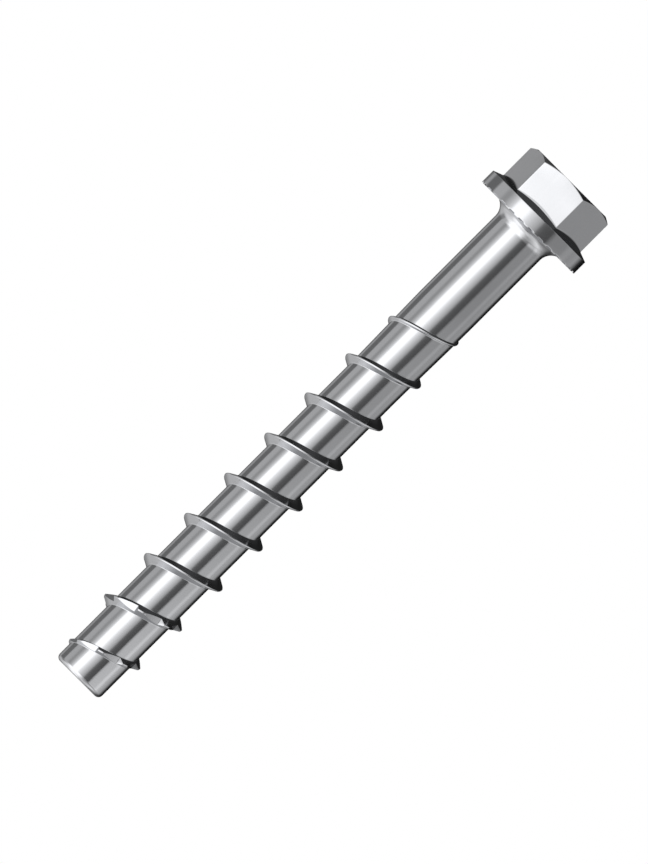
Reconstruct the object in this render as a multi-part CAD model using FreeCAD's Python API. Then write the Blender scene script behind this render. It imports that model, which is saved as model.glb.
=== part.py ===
import FreeCAD, Part
import math
import os

# Concrete screw: hex flange head, plain shank, one coarse thread that cuts its own way into a drilled hole.
# It stands on its head: the origin is the middle of the head's end face, and +Z runs to the tip.
# Lengths are in mm and angles in degrees; an angle is measured about +Z, from +X towards +Y.

# Head
wrench_width = 15.0
head_height = 9.9
chamfer_diameter = 14.9
chamfer_angle = 30.0
hex_turn = 8.6

# Flange and its locking ribs
flange_diameter = 20.4
rim_height = 2.35
flange_slope = 20.3
rib_count = 30
rib_height = 0.2
rib_root_width = 1.2
rib_tip_width = 0.75
rib_ring_diameter = 15.2
rib_turn = 9.0

# Shank, from the bearing plane under the head to the tip
screw_length = 100.0
shank_diameter = 9.92
core_diameter = 9.39
neck_radius = 2.4
plain_length = 19.0
taper_length = 14.5
tip_radius = 0.85

# Thread, right hand, single start
thread_diameter = 12.6
thread_pitch = 8.91
flank_angle = 28.0
crest_width = 0.1
thread_offset = 16.4
thread_turn = 4.0
rise_length = 20.8
tip_gap = 1.3
fade_turns = 1.4

# Cutting notches in the turns next to the tip
notch_count = 15
notch_spacing = 45.0
notch_setback = 80.3
notch_depth = 0.93
notch_span = 35.0
step_lean = 4.6

# Allowances inside the metal, where pieces of the form run into each other
sink = 0.03
burial = 0.4
core_skin = 0.1
piece_sweep = 120.0
rail_spans = 6

# Sizes that follow from the ones above
full_turn = 360.0
hex_sides = 6
wrench_radius = wrench_width / 2
corner_radius = wrench_radius / math.cos(math.pi / hex_sides)
flange_radius = flange_diameter / 2
shank_radius = shank_diameter / 2
core_radius = core_diameter / 2
thread_radius = thread_diameter / 2
underside_z = head_height - rib_height
rim_top_z = underside_z - rim_height
tip_z = head_height + screw_length
thread_start_z = head_height + thread_offset
thread_end_z = tip_z - tip_gap
thread_sweep = full_turn * (thread_end_z - thread_start_z) / thread_pitch


def polar(radius, angle, z):
    """A point given by its distance from the axis, its angle and its height."""
    turn = math.radians(angle)
    return FreeCAD.Vector(radius * math.cos(turn), radius * math.sin(turn), z)


def turned(outline):
    """A solid of revolution about Z from edges drawn in the XZ plane."""
    face = Part.Face(Part.Wire(Part.__sortEdges__(outline)))
    return face.revolve(FreeCAD.Vector(0, 0, 0), FreeCAD.Vector(0, 0, 1), full_turn)


def lines(points):
    """Straight edges through radius and height pairs."""
    corners = [polar(radius, 0, z) for radius, z in points]
    return [Part.LineSegment(a, b).toShape() for a, b in zip(corners, corners[1:])]


def slope(start, end):
    """A sloping edge kept as a spline, so that flats meet the cone turned from it in spline curves."""
    return Part.LineSegment(polar(start[0], 0, start[1]), polar(end[0], 0, end[1])).toBSpline().toShape()


def arc(start, middle, end):
    """A spline along the arc through three radius and height pairs."""
    points = [polar(radius, 0, z) for radius, z in (start, middle, end)]
    return Part.Arc(*points).toBSpline().toShape()


def hex_head():
    """Hexagonal prism, its end corners turned off by a cone."""
    step = full_turn / hex_sides
    corners = [polar(corner_radius, hex_turn + step * k, 0) for k in range(hex_sides + 1)]
    prism = Part.Face(Part.makePolygon(corners)).extrude(FreeCAD.Vector(0, 0, underside_z))
    top_radius = chamfer_diameter / 2
    fall = (flange_radius - top_radius) * math.tan(math.radians(chamfer_angle))
    chamfer = slope((top_radius, 0), (flange_radius, fall))
    envelope = lines([
        (flange_radius, fall),
        (flange_radius, underside_z),
        (0, underside_z),
        (0, 0),
        (top_radius, 0),
    ])
    return prism.common(turned([chamfer] + envelope))


def flange_and_shank():
    """Flange with its sloping top, neck fillet, plain shank, taper, core and rounded tip."""
    inner_radius = core_radius
    top_z = rim_top_z - (flange_radius - inner_radius) * math.tan(math.radians(flange_slope))
    neck_z = underside_z + neck_radius
    taper_z = head_height + plain_length
    diagonal = math.sqrt(0.5)
    neck_middle = (
        shank_radius + neck_radius * (1 - diagonal),
        underside_z + neck_radius * (1 - diagonal),
    )
    tip_middle = (
        core_radius - tip_radius * (1 - diagonal),
        tip_z - tip_radius * (1 - diagonal),
    )
    flange_top = slope((inner_radius, top_z), (flange_radius, rim_top_z))
    rim = lines([
        (flange_radius, rim_top_z),
        (flange_radius, underside_z),
        (shank_radius + neck_radius, underside_z),
    ])
    neck = arc((shank_radius + neck_radius, underside_z), neck_middle, (shank_radius, neck_z))
    stem = lines([
        (shank_radius, neck_z),
        (shank_radius, taper_z),
        (core_radius, taper_z + taper_length),
        (core_radius, tip_z - tip_radius),
    ])
    tip_round = arc((core_radius, tip_z - tip_radius), tip_middle, (core_radius - tip_radius, tip_z))
    core = lines([(core_radius - tip_radius, tip_z), (0, tip_z), (0, top_z), (inner_radius, top_z)])
    return turned([flange_top] + rim + [neck] + stem + [tip_round] + core)


def locking_ribs():
    """Ring of small radial ribs under the flange that bite when the head is seated."""
    inner = rib_ring_diameter / 2
    ring = turned(lines([
        (inner, underside_z - burial),
        (flange_radius, underside_z - burial),
        (flange_radius, head_height),
        (inner, head_height),
        (inner, underside_z - burial),
    ]))
    growth = (rib_root_width - rib_tip_width) / rib_height
    base_width = rib_root_width + growth * burial
    section = Part.makePolygon([
        FreeCAD.Vector(0, -base_width / 2, underside_z - burial),
        FreeCAD.Vector(0, base_width / 2, underside_z - burial),
        FreeCAD.Vector(0, rib_tip_width / 2, head_height),
        FreeCAD.Vector(0, -rib_tip_width / 2, head_height),
        FreeCAD.Vector(0, -base_width / 2, underside_z - burial),
    ])
    bar = Part.Face(section).extrude(FreeCAD.Vector(flange_diameter, 0, 0))
    ribs = []
    for k in range(rib_count):
        rib = bar.copy()
        angle = rib_turn + full_turn * k / rib_count
        rib.rotate(FreeCAD.Vector(0, 0, 0), FreeCAD.Vector(0, 0, 1), angle)
        ribs.append(rib.common(ring))
    return ribs


def crest_radius(sweep):
    """Height of the thread's crest, which grows out of the shank and fades into the core at the tip."""
    grown = min(1.0, thread_pitch * sweep / full_turn / rise_length)
    start_radius = shank_radius - sink
    radius = start_radius + (thread_radius - start_radius) * grown
    faded = max(0.0, 1.0 - (thread_sweep - sweep) / (fade_turns * full_turn))
    return radius - (thread_radius - core_radius + sink) * faded ** 2


def thread_rail(start, end, at_crest, side):
    """One long edge of a ridge piece: at its crest or buried in the core, on the head or the tip side."""
    slope = math.tan(math.radians(flank_angle))
    foot_radius = core_radius - burial
    points = []
    for k in range(rail_spans + 1):
        sweep = start + (end - start) * k / rail_spans
        crest = crest_radius(sweep)
        middle_z = thread_start_z + thread_pitch * sweep / full_turn
        radius = crest if at_crest else foot_radius
        half_width = crest_width / 2 + slope * (crest - radius)
        points.append(polar(radius, thread_turn + sweep, middle_z + side * half_width))
    curve = Part.BSplineCurve()
    curve.interpolate(points)
    return curve.toShape()


def ridge_piece(start, end):
    """A stretch of the V shaped ridge, as a closed solid with its foot inside the core."""
    corners = [(False, -1), (True, -1), (True, 1), (False, 1)]
    rails = [thread_rail(start, end, at_crest, side) for at_crest, side in corners]
    faces = [Part.makeRuledSurface(a, b) for a, b in zip(rails, rails[1:] + rails[:1])]
    for tail in (0, -1):
        section = [rail.Vertexes[tail].Point for rail in rails]
        faces.append(Part.Face(Part.makePolygon(section + section[:1])))
    shell = Part.Shell(faces)
    shell.sewShape()
    piece = Part.Solid(shell)
    if piece.Volume < 0:
        piece.reverse()
    return piece


def thread_ridge():
    """The whole ridge, in pieces that meet end to end."""
    count = math.ceil(thread_sweep / piece_sweep)
    stops = [thread_sweep * k / count for k in range(count + 1)]
    return [ridge_piece(start, end) for start, end in zip(stops, stops[1:])]


def cutting_notch(step_sweep):
    """Block that cuts one saw-tooth notch: a steep step, then a flat floor rising back to the crest."""
    end_sweep = step_sweep + notch_span
    step_radius = crest_radius(step_sweep)
    end_radius = crest_radius(end_sweep)
    floor_radius = max(step_radius - notch_depth, core_radius + core_skin)
    outer_radius = thread_diameter
    middle_z = thread_start_z + thread_pitch * (step_sweep + notch_span / 2) / full_turn
    floor = [
        polar(step_radius, thread_turn + step_sweep, 0),
        polar(floor_radius, thread_turn + step_sweep + step_lean, 0),
        polar(end_radius, thread_turn + end_sweep, 0),
    ]
    outer = [
        polar(outer_radius, thread_turn + end_sweep, 0),
        polar(outer_radius, thread_turn + step_sweep, 0),
    ]
    corners = [FreeCAD.Vector(0, 0, middle_z - thread_pitch / 4) + corner for corner in floor + outer]
    return Part.Face(Part.makePolygon(corners + corners[:1])).extrude(FreeCAD.Vector(0, 0, thread_pitch / 2))


def cutting_notches():
    """All notches, counted back from the end of the thread towards the head."""
    last = thread_sweep - notch_setback
    return [cutting_notch(last - notch_spacing * k) for k in range(notch_count)]


def concrete_screw():
    """The whole screw as one solid."""
    blank = flange_and_shank().fuse([hex_head().fuse(locking_ribs())]).removeSplitter()
    return blank.fuse(thread_ridge()).cut(cutting_notches())


os.makedirs("parts", exist_ok=True)
screw = concrete_screw()
screw.exportStep("parts/concrete_screw.step")
print("solids", len(screw.Solids), "valid", screw.isValid(), "volume", round(screw.Volume, 1))
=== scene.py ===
import math

import bpy
from mathutils import Matrix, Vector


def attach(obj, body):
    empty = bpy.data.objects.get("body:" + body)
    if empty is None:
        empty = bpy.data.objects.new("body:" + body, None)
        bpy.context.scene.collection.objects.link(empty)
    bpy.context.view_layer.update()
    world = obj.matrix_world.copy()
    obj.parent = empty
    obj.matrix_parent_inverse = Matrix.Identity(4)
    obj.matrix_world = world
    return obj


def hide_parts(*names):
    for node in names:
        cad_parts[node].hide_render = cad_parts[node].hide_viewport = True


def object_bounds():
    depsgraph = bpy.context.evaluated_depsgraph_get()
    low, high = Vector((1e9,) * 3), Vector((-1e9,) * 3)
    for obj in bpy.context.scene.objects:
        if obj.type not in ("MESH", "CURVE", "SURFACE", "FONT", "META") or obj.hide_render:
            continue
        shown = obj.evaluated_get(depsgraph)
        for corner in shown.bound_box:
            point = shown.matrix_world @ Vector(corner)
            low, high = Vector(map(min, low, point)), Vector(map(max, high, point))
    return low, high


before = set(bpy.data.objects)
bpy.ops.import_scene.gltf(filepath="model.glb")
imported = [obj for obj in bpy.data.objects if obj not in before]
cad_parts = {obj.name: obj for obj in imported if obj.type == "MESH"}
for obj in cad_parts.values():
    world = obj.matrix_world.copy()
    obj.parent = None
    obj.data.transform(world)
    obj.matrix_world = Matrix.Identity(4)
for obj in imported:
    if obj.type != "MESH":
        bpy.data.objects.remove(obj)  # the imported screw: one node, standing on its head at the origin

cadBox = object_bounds()
mm = 0.001
fullTurn = 360.0
screwLength = cadBox[1].z / mm

# The code of the metal goes from the head to the tip. Its sizes are in millimetres, and its angles in degrees
# about +Z, from +X towards +Y. Shares, rows and columns only say where the mesh has its points.


def polar(radius, angle, z):
    turn = math.radians(angle)
    return (radius * math.cos(turn), radius * math.sin(turn), z)


class MeshBuilder:
    def __init__(self):
        self.points = []
        self.faces = []

    def point(self, xyz):
        self.points.append(tuple(c * mm for c in xyz))
        return len(self.points) - 1

    def ring(self, xyzs):
        return [self.point(xyz) for xyz in xyzs]

    def face(self, corners):
        kept = [c for k, c in enumerate(corners) if c != corners[k - 1]]
        if len(set(kept)) >= 3:
            self.faces.append(kept)

    def band(self, lower, upper):  # lower ring is nearer the head, both run the same way round
        for k in range(len(lower)):
            n = (k + 1) % len(lower)
            self.face([lower[k], lower[n], upper[n], upper[k]])

    def stitch(self, lower, lowerAngles, upper, upperAngles):  # rings with unlike counts
        i = j = 0
        while i < len(lower) or j < len(upper):
            nextLower = lowerAngles[i + 1] if i + 1 < len(lower) else lowerAngles[0] + fullTurn
            nextUpper = upperAngles[j + 1] if j + 1 < len(upper) else upperAngles[0] + fullTurn
            a, b = lower[i % len(lower)], upper[j % len(upper)]
            if j == len(upper) or (i < len(lower) and nextLower <= nextUpper):
                self.face([a, lower[(i + 1) % len(lower)], b])
                i += 1
            else:
                self.face([a, upper[(j + 1) % len(upper)], b])
                j += 1

    def fan(self, ring, xyz, flip=False):
        middle = self.point(xyz)
        for k in range(len(ring)):
            a, b = ring[k], ring[(k + 1) % len(ring)]
            self.face([b, a, middle] if flip else [a, b, middle])


head = {
    "sides": 6,
    "acrossFlats": 15.0,
    "cornerRound": 0.08,
    "cornerTurn": 8.6,
    "height": 9.9,
    "flangeAcross": (cadBox[1].x - cadBox[0].x) / mm,
    "flangeSlope": 20.3,
    "rimHeight": 2.35,
    "rimRound": 0.07,
    "rimFoot": 0.15,  # the ribs' ends run into the rim over this height
    "ribEdgeTurns": (0, 30, 60, 90),  # of the round from the ribs to the rim
    "topEdgeTurns": (0, 23, 46, 70),  # of the round from the rim to the sloping top
    "blendAtFlat": 0.46,  # concave run-out where a flat meets the flange
    "blendAtCorner": 0.2,
    "blendRows": 6,
    "flatRow": 3.0,
    "chamferAcross": 14.9,
    "chamferSlope": 30.0,
    "chamferRound": 0.09,
    "chamferStep": (0.87, 0.5),  # a step down the chamfer: inwards, and towards the end face
    "chamferShares": (0.0, 0.33, 0.67, 1.0),
    "endEdge": (0.04, 0.012),  # the end face's edge is eased by this much: inwards, and in height
    "endShares": (0.67, 0.33),
}

ribs = {
    "count": 30,
    "turn": 9.0,
    "height": 0.2,
    "topWidth": 0.75,
    "footWidth": 1.2,
    "innerAcross": 15.2,
    "innerSlope": 0.14,
    "firstShare": 0.25,  # columns on a rib's top, as shares of half its width
    "topShares": (0.62, 1.0),
    "gapShares": (0.5, 1.0),  # and in the gap beside it, as shares of half the gap
    "cornerOffsets": (-0.27, -0.13, 0, 0.13, 0.27),  # columns beside a corner of the hexagon, in degrees
}


def hexOffset(angle):  # degrees from the nearest corner
    sector = fullTurn / head["sides"]
    return (angle - head["cornerTurn"] + sector / 2) % sector - sector / 2


def hexRadius(angle):
    off = math.radians(hexOffset(angle))
    halfSector = math.pi / head["sides"]
    flat = head["acrossFlats"] / 2
    radius = flat / math.cos(halfSector - abs(off))
    centre = (flat - head["cornerRound"]) / math.cos(halfSector)
    across = centre * math.sin(abs(off))
    if across < head["cornerRound"]:
        rounded = centre * math.cos(off) + math.sqrt(head["cornerRound"] ** 2 - across ** 2)
        radius = min(radius, rounded)
    return radius


def ribColumns():
    # each column: its angle at the ribs' inner end, its angle at the rim, and how high the rib is there
    def spread(radius):
        top = math.degrees(math.asin(ribs["topWidth"] / 2 / radius))
        foot = math.degrees(math.asin(ribs["footWidth"] / 2 / radius))
        return top, foot

    innerTop, innerFoot = spread(ribs["innerAcross"] / 2)
    outerTop, outerFoot = spread(head["flangeAcross"] / 2)
    pitch = fullTurn / ribs["count"]
    innerGap, outerGap = pitch / 2 - innerFoot, pitch / 2 - outerFoot
    half = [(innerTop * share, outerTop * share, 1.0) for share in ribs["topShares"]]
    half.append((innerFoot, outerFoot, 0.0))
    half += [(innerFoot + innerGap * share, outerFoot + outerGap * share, 0.0) for share in ribs["gapShares"]]
    cell = [(-inner, -outer, high) for inner, outer, high in half[-2::-1]]
    nearest = head["cornerTurn"] - ribs["turn"]  # the hexagon's corners get columns of their own
    for offset in ribs["cornerOffsets"]:
        cell.append(((nearest + offset) * innerTop / outerTop, nearest + offset, 1.0))
    cell += [(innerTop * ribs["firstShare"], outerTop * ribs["firstShare"], 1.0)] + half
    columns = []
    for k in range(ribs["count"]):
        centre = ribs["turn"] + pitch * k
        columns += [(centre + inner, centre + outer, high) for inner, outer, high in cell]
    return columns


def buildHead(mesh, neckRing, neckAngles):
    # rings from the neck out under the flange, over its rim and up the hexagon to the end face
    columns = ribColumns()
    underside = head["height"] - ribs["height"]
    rimTop = underside - head["rimHeight"]
    flangeRadius = head["flangeAcross"] / 2
    innerRadius = ribs["innerAcross"] / 2
    endRadius = head["chamferAcross"] / 2
    slope = math.radians(head["flangeSlope"])
    edge = head["rimRound"]

    def coneZ(radius):
        return rimTop - (flangeRadius - radius) * math.tan(slope)

    def chamferZ(radius):
        return max(0.0, (radius - endRadius) * math.tan(math.radians(head["chamferSlope"])))

    def around(place, useInner=False):  # place gives radius and height at an angle and rib height
        points = []
        for inner, outer, high in columns:
            radius, z = place(outer, high)
            points.append(polar(radius, inner if useInner else outer, z))
        return mesh.ring(points)

    def blendSize(angle):  # largest at the middle of a flat, least at the corners
        aside = abs(hexOffset(angle)) / (fullTurn / head["sides"] / 2)
        return head["blendAtCorner"] + (head["blendAtFlat"] - head["blendAtCorner"]) * (1 - (1 - aside) ** 2)

    def blendPlace(angle, share):  # from the cone, share 0, to the flat, share 1
        flat, size = hexRadius(angle), blendSize(angle)
        reach = size * (1 - share) ** 2
        return flat + reach * math.cos(slope), coneZ(flat) + reach * math.sin(slope) - size * share ** 2

    def conePlace(angle):  # halfway between the rim and the hexagon
        radius = (flangeRadius + hexRadius(angle)) / 2
        return radius, coneZ(radius)

    def chamferPlace(angle, share):  # a small round from the flat to the chamfer
        radius = hexRadius(angle)
        size = min(head["chamferRound"], (radius - endRadius) / 2)
        along = size * (1 - share) ** 2
        back = size * share ** 2
        inwards, endwards = head["chamferStep"]
        return radius - back * inwards, chamferZ(radius) + along - back * endwards

    def ribZ(high):
        return underside + high * ribs["height"]

    betweenRadius = (shank["across"] / 2 + shank["neckRadius"] + innerRadius) / 2
    rings = [
        around(lambda angle, high: (betweenRadius, underside), useInner=True),
        around(lambda angle, high: (innerRadius, underside), useInner=True),
        around(lambda angle, high: (innerRadius + ribs["innerSlope"], ribZ(high)), useInner=True),
    ]
    for turn in head["ribEdgeTurns"]:
        radius = flangeRadius - edge * (1 - math.sin(math.radians(turn)))
        down = edge * (1 - math.cos(math.radians(turn)))
        rings.append(around(lambda angle, high: (radius, ribZ(high) - down)))
    rings.append(around(lambda angle, high: (flangeRadius, underside - head["rimFoot"])))
    for turn in head["topEdgeTurns"]:
        out, up = 1 - math.cos(math.radians(turn)), math.sin(math.radians(turn))
        radius = flangeRadius - edge * out
        z = rimTop + edge * (math.tan((math.pi / 2 - slope) / 2) - up)
        rings.append(around(lambda angle, high: (radius, z)))
    rings.append(around(lambda angle, high: conePlace(angle)))
    for k in range(head["blendRows"] + 1):
        rings.append(around(lambda angle, high: blendPlace(angle, k / head["blendRows"])))
    rings.append(around(lambda angle, high: (hexRadius(angle), head["flatRow"])))
    for share in head["chamferShares"]:
        rings.append(around(lambda angle, high: chamferPlace(angle, share)))
    easedIn, easedUp = head["endEdge"]
    rings.append(around(lambda angle, high: (endRadius, easedUp)))
    for radius in [endRadius - easedIn] + [endRadius * share for share in head["endShares"]]:
        rings.append(around(lambda angle, high: (radius, 0.0)))
    mesh.stitch(rings[0], [inner for inner, outer, high in columns], neckRing, neckAngles)
    for outerRing, innerRing in zip(rings, rings[1:]):
        mesh.band(innerRing, outerRing)
    mesh.fan(rings[-1], (0, 0, 0), flip=True)


shank = {
    "across": 9.92,
    "coreAcross": 9.39,
    "neckRadius": 2.4,
    "plainLength": 19.0,
    "taperLength": 14.5,
    "tipRound": 0.85,
    "neckRows": 12,
    "tipRows": 9,
    "endShares": (0.7, 0.35),
}


def bodyRadius(z):  # shank, taper and core, without the thread
    taken = min(1.0, max(0.0, (z - head["height"] - shank["plainLength"]) / shank["taperLength"]))
    return (shank["across"] + (shank["coreAcross"] - shank["across"]) * taken) / 2


def buildNeck(mesh, angles):
    rings = []
    for k in range(shank["neckRows"] + 1):
        turn = math.radians(90 * k / shank["neckRows"])
        radius = shank["across"] / 2 + shank["neckRadius"] * (1 - math.sin(turn))
        z = head["height"] - ribs["height"] + shank["neckRadius"] * (1 - math.cos(turn))
        rings.append(mesh.ring([polar(radius, angle, z) for angle in angles]))
    return rings


def buildTip(mesh, angles, lastRing, lastRingZ):
    rings = [lastRing]
    coreRadius = shank["coreAcross"] / 2
    for k in range(1, shank["tipRows"] + 1):
        turn = math.radians(90 * k / shank["tipRows"])
        radius = coreRadius - shank["tipRound"] * (1 - math.cos(turn))
        z = lastRingZ + shank["tipRound"] * math.sin(turn)
        rings.append(mesh.ring([polar(radius, angle, z) for angle in angles]))
    for share in shank["endShares"]:
        radius = (coreRadius - shank["tipRound"]) * share
        rings.append(mesh.ring([polar(radius, angle, screwLength) for angle in angles]))
    for lower, upper in zip(rings, rings[1:]):
        mesh.band(lower, upper)
    mesh.fan(rings[-1], (0, 0, screwLength))


thread = {
    "across": 12.6,
    "pitch": 8.91,
    "start": 26.285,
    "startTurn": 4.0,
    "riseLength": 20.8,
    "tipGap": 1.3,
    "fadeTurns": 1.4,
    "sink": 0.03,
    # its two sides: the crest's round runs from the middle to roundEnd degrees
    "toHead": {"flankAngle": 26.6, "crestRound": 0.06, "roundEnd": 90, "rootRound": 0.05},
    "toTip": {"flankAngle": 25.0, "crestRound": 0.31, "roundEnd": 40, "rootRound": 0.12},
    "rootShare": 0.85,  # the most of the ridge's height that the root's round may take
    "shoulder": 0.03,  # a row just under the crest
    "shoulderShare": 0.1,  # and the most of the height that it may take
    "skirt": 0.12,  # from the root's round to the last row, on the body
    "lowRise": 0.15,  # where the ridge rises less than this, its rows spread out
    "lowSpread": 0.033,  # until they are this far apart
    "crestShares": (0.0, 0.5, 0.92, 1.0),
    "floorShares": (0.0, 0.5, 0.95, 1.0),
    "rootShares": (1.0, 0.75, 0.5, 0.25, 0.0),
    "borderGap": 0.12,  # at least this much between the last turns' borders at the tip
    "columnsPerNotch": 22,
    "leastColumns": 2,
}

notches = {
    "count": 15,
    "spacing": 45.0,
    "setback": 81.5,
    "depth": 0.93,
    "span": 35.0,
    "stepLean": 4.65,
    "skew": 1.6,  # degrees to a millimetre: the steps face the tip a little
    "coreSkin": 0.1,
    "leastFloor": 0.02,  # over the core, so that a floor's straight line doesn't sink into it
}

# the thread's own sums: sweep is the angle run through since its start

threadEnd = screwLength - thread["tipGap"]
threadSweep = fullTurn * (threadEnd - thread["start"]) / thread["pitch"]


def crestRadius(sweep):
    startRadius = shank["across"] / 2 - thread["sink"]
    grown = min(1.0, thread["pitch"] * sweep / fullTurn / thread["riseLength"])
    radius = startRadius + (thread["across"] / 2 - startRadius) * grown
    faded = max(0.0, 1.0 - (threadSweep - sweep) / (thread["fadeTurns"] * fullTurn))
    return radius - (thread["across"] / 2 - shank["coreAcross"] / 2 + thread["sink"]) * faded ** 2


def chordRadius(radiusA, angleA, radiusB, angleB, angle):  # a straight line, read at an angle
    a, b = math.radians(angle - angleA), math.radians(angleB - angle)
    return radiusA * radiusB * math.sin(a + b) / (radiusA * math.sin(a) + radiusB * math.sin(b))


def notchRadius(sweep):  # how far out the metal is left at this place of the thread
    untouched = thread["across"]
    lastStep = threadSweep - notches["setback"]
    back = math.floor((lastStep + notches["span"] - sweep) / notches["spacing"])
    along = sweep - lastStep + notches["spacing"] * back
    if not 0 <= back < notches["count"] or not 0 < along < notches["span"]:
        return untouched
    step = sweep - along
    top, end = crestRadius(step), crestRadius(step + notches["span"])
    floor = max(top - notches["depth"], shank["coreAcross"] / 2 + notches["coreSkin"])
    if along < notches["stepLean"]:
        return chordRadius(top, 0, floor, notches["stepLean"], along)
    return chordRadius(floor, notches["stepLean"], end, notches["span"], along)


def halfSection(base, crest, top, side):
    # one side of the ridge, from its middle to the body: pairs of distance and radius
    rise = max(0.0, crest - base)
    flank = math.tan(math.radians(side["flankAngle"]))
    lean = math.radians(90 - side["flankAngle"])
    crestRound = min(side["crestRound"], rise)
    rootRound = min(side["rootRound"], thread["rootShare"] * max(0.0, top - base))
    arcEnd = min(lean, math.radians(side["roundEnd"]))
    crestHalf = crestRound * (math.sin(arcEnd) - flank * (1 - math.cos(arcEnd)))
    points = []
    for share in thread["crestShares"]:
        turn = arcEnd * share
        points.append((crestRound * math.sin(turn), crest - crestRound * (1 - math.cos(turn))))
    if top < points[-1][1]:  # the crest is notched away, and a flat floor is left
        edge = crestHalf + flank * (crest - top)
        points = [(edge * share, top) for share in thread["floorShares"]]
    else:
        points = [(aside, min(radius, top)) for aside, radius in points]
    aside, radius = points[-1]
    drop = min(thread["shoulder"], thread["shoulderShare"] * max(0.0, radius - base))
    points.append((aside + flank * drop, radius - drop))
    foot = crestHalf + flank * rise
    reach = rootRound * math.tan(lean / 2)
    low = (foot - reach * math.cos(lean), base + reach * math.sin(lean))
    points.append(((points[-1][0] + low[0]) / 2, (points[-1][1] + low[1]) / 2))
    for share in thread["rootShares"]:
        turn = lean * share
        points.append((foot + reach - rootRound * math.sin(turn), base + rootRound * (1 - math.cos(turn))))
    points.append((foot + reach + thread["skirt"], base))
    shaped = min(1.0, rise / thread["lowRise"])
    spread = [thread["lowSpread"] * k * (1 - shaped) for k in range(len(points))]
    return [(aside * shaped + more, radius) for more, (aside, radius) in zip(spread, points)]


def threadSection(sweep):
    # across the ridge, from just under it to just over it: heights, radii and angles of skew
    middle = thread["start"] + thread["pitch"] * sweep / fullTurn
    base = bodyRadius(middle)
    crest = crestRadius(min(max(sweep, 0), threadSweep))
    left = max(notchRadius(sweep), base + notches["leastFloor"])
    top = max(min(crest, left), base)
    toHead = halfSection(base, crest, top, thread["toHead"])
    toTip = halfSection(base, crest, top, thread["toTip"])
    rows = []
    for aside, radius in [(-aside, radius) for aside, radius in toHead[:0:-1]] + toTip:
        z = middle + aside
        rows.append((z, radius + bodyRadius(z) - base, notches["skew"] * aside))
    return rows


def shankAngles():
    # one notch's worth of columns, then its copies, so that every step and floor has its own edge
    marks = [0.0, notches["stepLean"], notches["span"], notches["spacing"]]
    perDegree = thread["columnsPerNotch"] / notches["spacing"]
    cell = []
    for low, high in zip(marks, marks[1:]):
        count = max(thread["leastColumns"], round((high - low) * perDegree))
        cell += [low + (high - low) * k / count for k in range(count)]
    firstStep = (thread["startTurn"] + threadSweep - notches["setback"]) % notches["spacing"]
    copies = range(round(fullTurn / notches["spacing"]))
    return sorted((firstStep + mark + notches["spacing"] * k) % fullTurn for k in copies for mark in cell)


def buildShank(mesh):
    # columns round the axis, and one block of rows for each turn of the ridge
    angles = shankAngles()
    count = len(angles)
    pitch = thread["pitch"]
    startAngle = angles[0] - thread["startTurn"]
    firstRingZ = thread["start"] + pitch * startAngle / fullTurn - pitch / 2
    lastRingZ = screwLength - shank["tipRound"]
    lastBlock = math.ceil((threadSweep - startAngle) / fullTurn)
    blocks = range(-1, lastBlock + 1)
    rowCount = len(threadSection(0)) + 1

    def border(turns):  # height of the line halfway between two turns of the ridge
        free = firstRingZ + pitch * (turns + 1)
        return min(free, lastRingZ - thread["borderGap"] * max(0.0, lastBlock - turns))

    def column(block, angle):
        turns = block + (angle - angles[0]) / fullTurn
        sweep = turns * fullTurn + startAngle
        low, high = max(firstRingZ, border(turns - 1)), border(turns)
        section = threadSection(sweep)
        if block < 0 or block == lastBlock or sweep > threadSweep:  # no ridge here
            share = (high - low) / rowCount
            section = [(low + share * (k + 1), None, 0.0) for k in range(rowCount - 1)]
        points = []
        for z, radius, turn in [(low, None, 0.0)] + section:  # without a radius, it is the body's own
            z = max(low, z)
            points.append(polar(bodyRadius(z) if radius is None else radius, angle - turn, z))
        return points

    neck = buildNeck(mesh, angles)
    firstRing = mesh.ring([polar(bodyRadius(firstRingZ), angle, firstRingZ) for angle in angles])
    for lower, upper in zip(neck, neck[1:] + [firstRing]):
        mesh.band(lower, upper)
    lastRing = mesh.ring([polar(bodyRadius(lastRingZ), angle, lastRingZ) for angle in angles])
    columns = {}
    for block in blocks:
        for i, angle in enumerate(angles):
            points = column(block, angle)
            if block == -1:
                points = [] if i == 0 else points[1:]
            elif block == 0 and i == 0:
                points = points[1:]
            elif block == lastBlock:
                points = points[:1]
            columns[block, i] = mesh.ring(points)

    def corner(block, i, j):
        if i == count:
            return corner(block + 1, 0, j)
        if block > lastBlock or (block == lastBlock and j > 0):
            return lastRing[i]
        if j == rowCount:
            return corner(block + 1, i, 0)
        if i == 0 and (block == -1 or (block == 0 and j == 0)):
            return firstRing[0]
        if block == -1 and j == 0:
            return firstRing[i]
        lacking = 1 if block == -1 or (block == 0 and i == 0) else 0
        return columns[block, i][j - lacking]

    for block in blocks:
        for i in range(count):
            for j in range(rowCount):
                mesh.face([
                    corner(block, i, j),
                    corner(block, i + 1, j),
                    corner(block, i + 1, j + 1),
                    corner(block, i, j + 1),
                ])
    buildTip(mesh, angles, lastRing, lastRingZ)
    return neck[0], angles


sharpFrom = 32.0  # degrees: a fold of less than this is shaded smooth


def makeScrew():
    mesh = MeshBuilder()
    neckRing, neckAngles = buildShank(mesh)
    buildHead(mesh, neckRing, neckAngles)
    data = bpy.data.meshes.new("screwMetal")
    data.from_pydata(mesh.points, [], mesh.faces)
    data.validate()
    data.update()
    for polygon in data.polygons:
        polygon.use_smooth = True
    data.set_sharp_from_angle(angle=math.radians(sharpFrom))
    screw = bpy.data.objects.new("zincScrew", data)
    bpy.context.collection.objects.link(screw)
    return screw


screw = makeScrew()
print("screw:", len(screw.data.vertices), "points,", len(screw.data.polygons), "faces")


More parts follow.
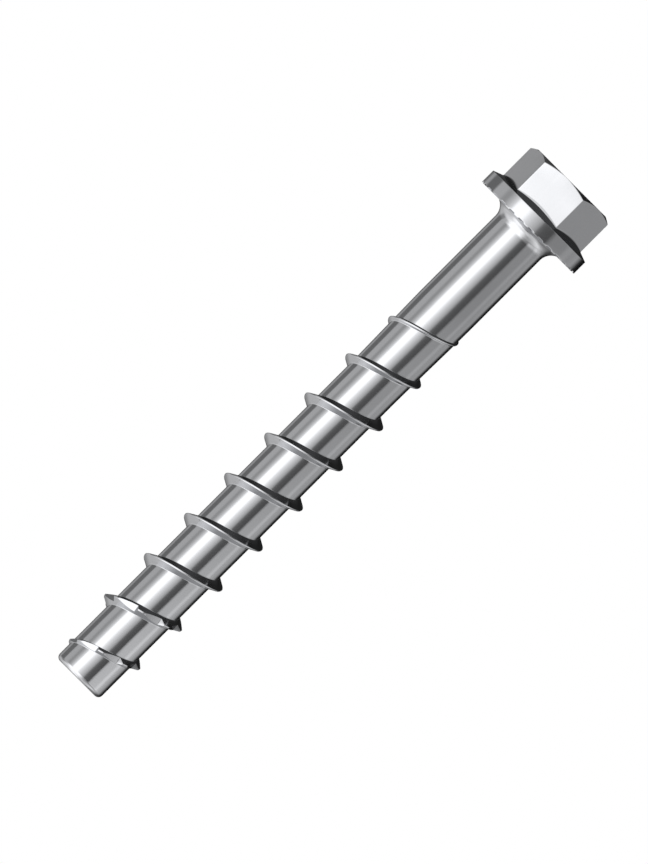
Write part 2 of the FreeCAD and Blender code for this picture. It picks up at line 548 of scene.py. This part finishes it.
class Sum:  # wraps a socket, so that shader maths reads as an expression
    def __init__(self, tree, socket):
        self.tree = tree
        self.socket = socket

    def join(self, operation, a, b=None):
        node = self.tree.nodes.new("ShaderNodeMath")
        node.operation = operation
        for slot, value in zip(node.inputs, (a, b)):
            if isinstance(value, Sum):
                self.tree.links.new(value.socket, slot)
            elif value is not None:
                slot.default_value = value
        return Sum(self.tree, node.outputs[0])

    def __add__(self, other):
        return self.join("ADD", self, other)

    def __radd__(self, other):
        return self.join("ADD", other, self)

    def __sub__(self, other):
        return self.join("SUBTRACT", self, other)

    def __rsub__(self, other):
        return self.join("SUBTRACT", other, self)

    def __mul__(self, other):
        return self.join("MULTIPLY", self, other)

    def __rmul__(self, other):
        return self.join("MULTIPLY", other, self)

    def __truediv__(self, other):
        return self.join("DIVIDE", self, other)

    def __rtruediv__(self, other):
        return self.join("DIVIDE", other, self)

    def __gt__(self, other):
        return self.join("GREATER_THAN", self, other)


class Shader:
    def __init__(self, tree):
        self.tree = tree
        tree.nodes.clear()

    def node(self, kind, settings=None, inputs=None):
        made = self.tree.nodes.new("ShaderNode" + kind)
        for name, value in (settings or {}).items():
            if name == "stops":
                ramp = made.color_ramp
                while len(ramp.elements) > 1:
                    ramp.elements.remove(ramp.elements[-1])
                for k, (place, shade) in enumerate(value):
                    element = ramp.elements[0] if k == 0 else ramp.elements.new(place)
                    element.position = place
                    element.color = (shade, shade, shade, 1)
            else:
                setattr(made, name, value)
        for name, value in (inputs or {}).items():
            if isinstance(value, Sum):
                self.tree.links.new(value.socket, made.inputs[name])
            else:
                made.inputs[name].default_value = value
        return made

    def out(self, made, name=0):
        return Sum(self.tree, made.outputs[name])

    def mix(self, fac, a, b):  # of colours, which are the node's inputs 6 and 7 and its output 2
        made = self.node("Mix", {"data_type": "RGBA"}, {"Factor": fac, 6: a, 7: b})
        return self.out(made, 2)

    def smooth(self, value, low, high):
        settings = {"interpolation_type": "SMOOTHSTEP"}
        return self.out(self.node("MapRange", settings, {"Value": value, "From Min": low, "From Max": high}))

    def ramp(self, fac, stops, low, high):  # stops are pairs of a place from low to high and a shade
        places = [((place - low) / (high - low), shade) for place, shade in stops]
        return self.out(self.node("ValToRGB", {"stops": places}, {"Fac": fac}), "Color")


# from here on lengths are in metres, as Blender has them

zinc = {
    "color": (0.80, 0.805, 0.825, 1),
    "colorDeep": (0.74, 0.75, 0.775, 1),
    "roughness": 0.11,
    # three noises, and what each adds to the tone, to the roughness or to the bump's height
    "cloud": {"Scale": 170.0, "Detail": 4.0},
    "cloudTone": 0.6,
    "cloudRough": 0.07,
    "streak": {"Scale": 1500.0, "Detail": 2.0},
    "streakStretch": 0.05,
    "streakTone": 0.4,
    "streakRough": 0.08,
    "streakHeight": 0.7,
    "grain": {"Scale": 2800.0, "Detail": 2.0},
    "grainHeight": 0.3,
    "noiseMiddle": 0.5,
    "bump": 0.07,
    "bumpDepth": 0.00002,
}


def makeZinc():
    material = bpy.data.materials.new("brightZinc")
    material.use_nodes = True
    shader = Shader(material.node_tree)

    def noise(name, vector):
        return shader.out(shader.node("TexNoise", inputs={"Vector": vector, **zinc[name]}))

    place = shader.out(shader.node("TexCoord"), "Object")
    stretch = (1, 1, zinc["streakStretch"])
    drawn = shader.out(shader.node("Mapping", inputs={"Vector": place, "Scale": stretch}))
    cloud, streak, grain = noise("cloud", place), noise("streak", drawn), noise("grain", place)
    deep = cloud * zinc["cloudTone"] + streak * zinc["streakTone"]
    uneven = (cloud - zinc["noiseMiddle"]) * zinc["cloudRough"]
    worn = (streak - zinc["noiseMiddle"]) * zinc["streakRough"]
    bump = shader.node("Bump", inputs={
        "Strength": zinc["bump"],
        "Distance": zinc["bumpDepth"],
        "Height": streak * zinc["streakHeight"] + grain * zinc["grainHeight"],
    })
    surface = shader.node("BsdfPrincipled", inputs={
        "Base Color": shader.mix(deep, zinc["color"], zinc["colorDeep"]),
        "Metallic": 1.0,
        "Roughness": zinc["roughness"] + uneven + worn,
        "Normal": shader.out(bump, "Normal"),
    })
    shader.node("OutputMaterial", inputs={"Surface": shader.out(surface)})
    return material


screw.data.materials.append(makeZinc())
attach(screw, "root")
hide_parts("concrete_screw")
print("zinc: done")


# The metal shows a tent of light and dark panels. Their tones run from 0 to 255, as they look in the zinc,
# by compass angle: 0 is the side that the camera looks from, and plus is to the screw's -X side.

tent = {
    "level": [
        (-180, 60), (-166, 60), (-163, 105), (-151, 105), (-148, 142), (-136, 142), (-130, 96), (-105, 96),
        (-100, 158), (-80, 158), (-72, 137), (-66, 139), (-56, 176), (-48, 206), (-43, 262), (-20, 262),
        (-12, 221), (0, 186), (8, 163), (13, 138), (16, 97), (24, 80), (40, 70), (44, 103), (48, 124),
        (76, 120), (86, 147), (122, 143), (132, 100), (139, 50), (148, 25), (180, 25),
    ],
    "low": [
        (-180, 140), (-168, 130), (-158, 158), (-133, 172), (-118, 125), (-103, 125), (-93, 165), (-82, 165),
        (-72, 203), (-62, 250), (-55, 262), (-5, 262), (3, 235), (9, 200), (17, 148), (26, 128), (35, 118),
        (50, 118), (72, 138), (93, 140), (103, 168), (116, 147), (132, 112), (144, 60), (162, 55), (171, 100),
        (180, 140),
    ],
    "above": [
        (-180, 175), (-170, 176), (-159, 164), (-148, 190), (-133, 184), (-108, 205), (-90, 215), (-77, 235),
        (-68, 258), (-10, 258), (0, 240), (10, 205), (20, 166), (30, 152), (40, 154), (60, 177), (80, 205),
        (90, 212), (98, 209), (108, 182), (120, 158), (132, 132), (150, 112), (160, 112), (170, 150),
        (180, 175),
    ],
    "zenith": [
        (-180, 204), (-172, 204), (-160, 222), (-140, 252), (-100, 256), (-60, 246), (-30, 228), (0, 205),
        (30, 199), (60, 180), (90, 184), (110, 195), (130, 170), (150, 152), (165, 165), (180, 204),
    ],
    "below": [
        (-180, 48), (-169, 53), (-160, 64), (-146, 66), (-134, 120), (-110, 150), (-84, 120), (-60, 190),
        (-25, 212), (6, 170), (16, 96), (40, 84), (50, 150), (90, 165), (112, 120), (134, 56), (158, 42),
        (163, 30), (172, 42), (180, 48),
    ],
    # each belt takes over from the one before between two slopes, upwards from level, and then downwards
    "upwards": [("low", 0.10, 0.36), ("above", 0.42, 0.66), ("zenith", 0.82, 0.95)],
    "downwards": ("below", 0.12, 0.4),
    # what is left of the tent where the screw mirrors itself, towards the head and towards the tip
    "twiceHead": [
        (-180, 38), (-140, 36), (-91, 45), (-46, 66), (0, 68), (46, 58), (91, 50), (140, 44), (180, 38),
    ],
    "twiceTip": [
        (-180, 180), (-140, 193), (-91, 213), (-46, 194), (0, 147), (46, 134), (91, 148), (140, 150),
        (180, 180),
    ],
    "twiceSlopes": (-0.25, 0.35),  # the one gives way to the other between these
    "shineOfZinc": 0.79,
    "whiteTone": 255,
    "gamma": 2.2,
}

twiceMirrored = 1.5  # the glossy depth is over this where the screw mirrors itself


def lightOf(tone):  # the brightness that shows as this tone in the zinc
    return (tone / tent["whiteTone"]) ** tent["gamma"] / tent["shineOfZinc"]


def makeTent():
    world = bpy.data.worlds.new("tent")
    world.use_nodes = True
    bpy.context.scene.world = world
    shader = Shader(world.node_tree)
    parts = shader.node("SeparateXYZ", inputs={"Vector": shader.out(shader.node("TexCoord"), "Generated")})
    x, y, z = (shader.out(parts, k) for k in range(3))
    compass = x.join("ARCTAN2", 0 - x, 0 - y) / (2 * math.pi) + 0.5

    def belt(name):
        stops = [(angle, lightOf(tone)) for angle, tone in tent[name]]
        return shader.ramp(compass, stops, -180, 180)

    shown = belt("level")
    for name, low, high in tent["upwards"]:
        shown = shader.mix(shader.smooth(z, low, high), shown, belt(name))
    name, low, high = tent["downwards"]
    shown = shader.mix(shader.smooth(0 - z, low, high), shown, belt(name))
    path = shader.node("LightPath")
    towardsTip = shader.smooth(z, *tent["twiceSlopes"])
    mirrored = shader.mix(towardsTip, belt("twiceHead"), belt("twiceTip"))
    shown = shader.mix(shader.out(path, "Glossy Depth") > twiceMirrored, shown, mirrored)
    seen = shader.mix(shader.out(path, "Is Glossy Ray"), (1, 1, 1, 1), shown)
    light = shader.node("Background", inputs={"Color": seen})
    shader.node("OutputWorld", inputs={"Surface": shader.out(light)})


# a card at the side, lighter towards the tip: tones by height along the screw, and then what share of them
# it shows, and how solid it is, by compass angle
sideCard = {
    "compass": 80.0,
    "away": 0.35,
    "across": (-0.36, 0.30),
    "low": -0.12,
    "high": 0.26,
    "fade": 0.06,  # its upper and lower edges fade out over this
    "lostTwice": 0.92,  # the share that is gone where the screw mirrors itself
    "tones": [(0.0, 124), (0.03, 129), (0.06, 143), (0.085, 160), (0.11, 181)],
    "shares": [
        (40, 0.62), (44, 0.66), (48, 1.0), (76, 1.0), (86, 1.32), (94, 1.28), (100, 1.05), (124, 0.95),
    ],
    "solid": [(40, 0.0), (42, 1.0), (92, 1.0), (122, 0.0)],
}

cameraSide = 270.0  # where the compass is 0, in degrees about +Z


def makeSideCard():
    away, turn = sideCard["away"], math.radians(cameraSide - sideCard["compass"])
    left, right = sideCard["across"]
    low, high, fade = sideCard["low"], sideCard["high"], sideCard["fade"]
    data = bpy.data.meshes.new("sideCard")
    corners = [(0, left, low), (0, right, low), (0, right, high), (0, left, high)]
    data.from_pydata(corners, [], [(0, 1, 2, 3)])
    card = bpy.data.objects.new("sideCard", data)
    bpy.context.collection.objects.link(card)
    card.location = (away * math.cos(turn), away * math.sin(turn), 0)
    card.rotation_euler = (0, 0, turn)
    card.visible_camera = card.visible_diffuse = card.visible_shadow = card.visible_transmission = False
    material = bpy.data.materials.new("cardGlow")
    material.use_nodes = True
    shader = Shader(material.node_tree)
    parts = shader.node("SeparateXYZ", inputs={"Vector": shader.out(shader.node("TexCoord"), "Object")})
    y, z = shader.out(parts, 1), shader.out(parts, 2)
    compass = sideCard["compass"] - y.join("ARCTANGENT", y / away) * (180 / math.pi)

    def ramp(place, stops):  # a ramp that runs from its first stop to its last
        first, last = stops[0][0], stops[-1][0]
        return shader.ramp((place - first) / (last - first), stops, first, last)

    tones = [(height, lightOf(tone)) for height, tone in sideCard["tones"]]
    light = ramp(z, tones) * ramp(compass, sideCard["shares"])
    twice = shader.out(shader.node("LightPath"), "Glossy Depth") > twiceMirrored
    solid = ramp(compass, sideCard["solid"])
    solid = solid * shader.smooth(z, low, low + fade) * shader.smooth(high - z, 0, fade)
    glow = shader.node("Emission", inputs={"Color": light * (1 - twice * sideCard["lostTwice"])})
    clear = shader.node("BsdfTransparent")
    both = shader.node("MixShader", inputs={0: solid, 1: shader.out(clear), 2: shader.out(glow)})
    shader.node("OutputMaterial", inputs={"Surface": shader.out(both)})
    data.materials.append(material)


floor = {"size": 1.2, "under": 0.00005, "color": (0.86, 0.86, 0.86, 1)}


def makeFloor():
    half = floor["size"] / 2
    data = bpy.data.meshes.new("floor")
    corners = [(-half, -half, 0), (half, -half, 0), (half, half, 0), (-half, half, 0)]
    data.from_pydata(corners, [], [(0, 1, 2, 3)])
    plate = bpy.data.objects.new("floor", data)
    bpy.context.collection.objects.link(plate)
    plate.location.z = -floor["under"]
    plate.visible_glossy = False
    material = bpy.data.materials.new("paleFloor")
    material.use_nodes = True
    shader = Shader(material.node_tree)
    surface = shader.node("BsdfDiffuse", inputs={"Color": floor["color"]})
    shader.node("OutputMaterial", inputs={"Surface": shader.out(surface)})
    data.materials.append(material)


view = {"fieldHeight": 0.13564, "aimX": -0.00004, "aimZ": 0.05517, "away": 0.6}


def makeCamera():
    data = bpy.data.cameras.new("camera")
    data.type = "ORTHO"
    data.ortho_scale = view["fieldHeight"]
    camera = bpy.data.objects.new("camera", data)
    bpy.context.collection.objects.link(camera)
    slant = math.sqrt(0.5)
    axes = Matrix(((-slant, slant, 0), (0, 0, -1), (-slant, -slant, 0)))  # the tip points to the lower left
    camera.matrix_world = Matrix.Translation((view["aimX"], -view["away"], view["aimZ"])) @ axes.to_4x4()
    bpy.context.scene.camera = camera


makeFloor()
makeSideCard()
makeTent()
makeCamera()
bpy.context.scene.view_settings.view_transform = "Standard"
print("studio: done")
